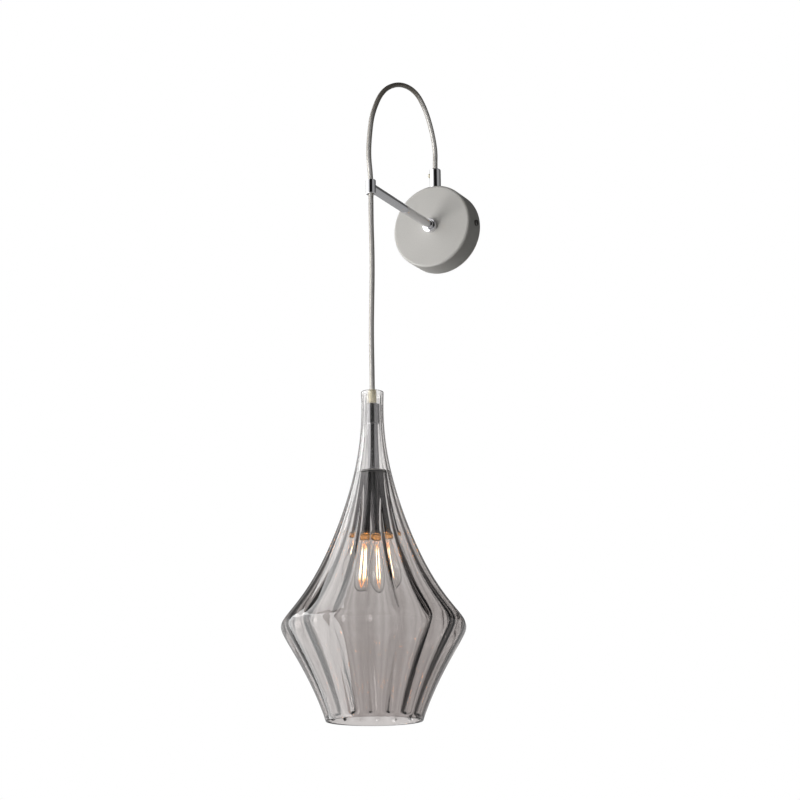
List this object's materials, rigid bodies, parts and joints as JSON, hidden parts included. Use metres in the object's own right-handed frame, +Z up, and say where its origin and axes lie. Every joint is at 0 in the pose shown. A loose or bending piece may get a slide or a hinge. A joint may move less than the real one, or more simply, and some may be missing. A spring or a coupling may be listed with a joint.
{
  "type": "hanging pendant wall sconce",
  "caption": "Wall light: round canopy with a straight arm whose tip guides a looped cord, from which a fluted smoked glass shade hangs over one lamp.",
  "frame": {"origin": "centre of the canopy's back face, on the wall", "axes": "+Z up, +Y into the wall, -Y out into the room, +X to the right for someone facing the wall"},
  "size_m": [0.1918, 0.2683, 0.7469],
  "materials": {
    "putty_paint": "matte powder coat, warm light grey",
    "zinc_steel": "zinc plated",
    "chrome": "polished chrome plate",
    "clear_nylon": "translucent nylon",
    "braided_cord": "silver braid under a clear sheath",
    "white_nylon": "moulded",
    "brass": "plain",
    "core_brown": "insulation",
    "core_blue": "insulation",
    "core_earth": "green and yellow insulation",
    "holder_plastic": "moulded heat-proof plastic",
    "silicone": "translucent silicone",
    "smoked_glass": "smoked, mould-blown, fluted",
    "bulb_glass": "clear",
    "bulb_nickel": "nickel plated",
    "bulb_black_glass": "vitreous insulator",
    "filament": "phosphor-coated light strip, lit"
  },
  "bodies": {
    "root": {"canopy": "putty_paint", "wall_bracket": "zinc_steel", "canopy_screws": "chrome", "arm_tube": "chrome", "arm_collar": "chrome", "arm_stud": "zinc_steel", "arm_washer": "zinc_steel", "arm_nut": "zinc_steel", "cord_guide": "chrome", "guide_liner": "clear_nylon", "cord_grip": "chrome", "grip_screw": "clear_nylon", "grip_nut": "zinc_steel", "terminal_block": "white_nylon", "terminal_screws": "brass", "earth_tag": "brass", "earth_screw": "brass", "cable_loop": "braided_cord", "cable_tail": "braided_cord", "live_wire": "core_brown", "neutral_wire": "core_blue", "earth_wire": "core_earth"},
    "cord_link": {"cable_flex": "braided_cord"},
    "pendant": {"cable_drop": "braided_cord", "neck_gland": "clear_nylon", "neck_collar": "chrome", "stem_tube": "chrome", "cup_nipple": "zinc_steel", "cup_nut": "zinc_steel", "lamp_cup": "chrome", "cup_ring": "chrome", "lampholder_cap": "holder_plastic", "lampholder_body": "holder_plastic", "socket_shell": "brass", "socket_contact": "brass", "holder_wires": "core_brown"},
    "gasket": {"shade_gasket": "silicone"},
    "shade": {"glass_shade": "smoked_glass"},
    "bulb_carriage": {"bulb_contact": "bulb_nickel"},
    "bulb": {"bulb_insulator": "bulb_black_glass", "bulb_cap": "bulb_nickel", "bulb_envelope": "bulb_glass", "bulb_stem": "bulb_glass", "bulb_filaments": "filament", "filament_wires": "bulb_nickel"}
  },
  "joints": [
    {"name": "swing_fore_aft", "type": "hinge", "parent": "root", "child": "cord_link", "pos_m": [0, -0.1724, -0.00905], "axis": [1, 0, 0], "range_deg": [-25, 8]},
    {"name": "swing_side", "type": "hinge", "parent": "cord_link", "child": "pendant", "pos_m": [0, -0.1724, -0.02305], "axis": [0, 1, 0], "range_deg": [-25, 25]},
    {"name": "shade_turn", "type": "hinge", "parent": "pendant", "child": "gasket", "pos_m": [0, -0.1724, -0.3246], "axis": [0, 0, 1], "continuous": true},
    {"name": "shade_lift", "type": "slide", "parent": "gasket", "child": "shade", "axis": [0, 0, 1], "range_m": [0, 0.19]},
    {"name": "bulb_advance", "type": "slide", "parent": "pendant", "child": "bulb_carriage", "axis": [0, 0, -1], "range_m": [0, 0.0114]},
    {"name": "bulb_unscrew", "type": "hinge", "parent": "bulb_carriage", "child": "bulb", "pos_m": [0, -0.1724, -0.37], "axis": [0, 0, -1], "range_deg": [0, 1440]}
  ],
  "couplings": [
    {"joint": "bulb_advance", "follows": "bulb_unscrew", "m_per_rad": 0.00044914}
  ]
}
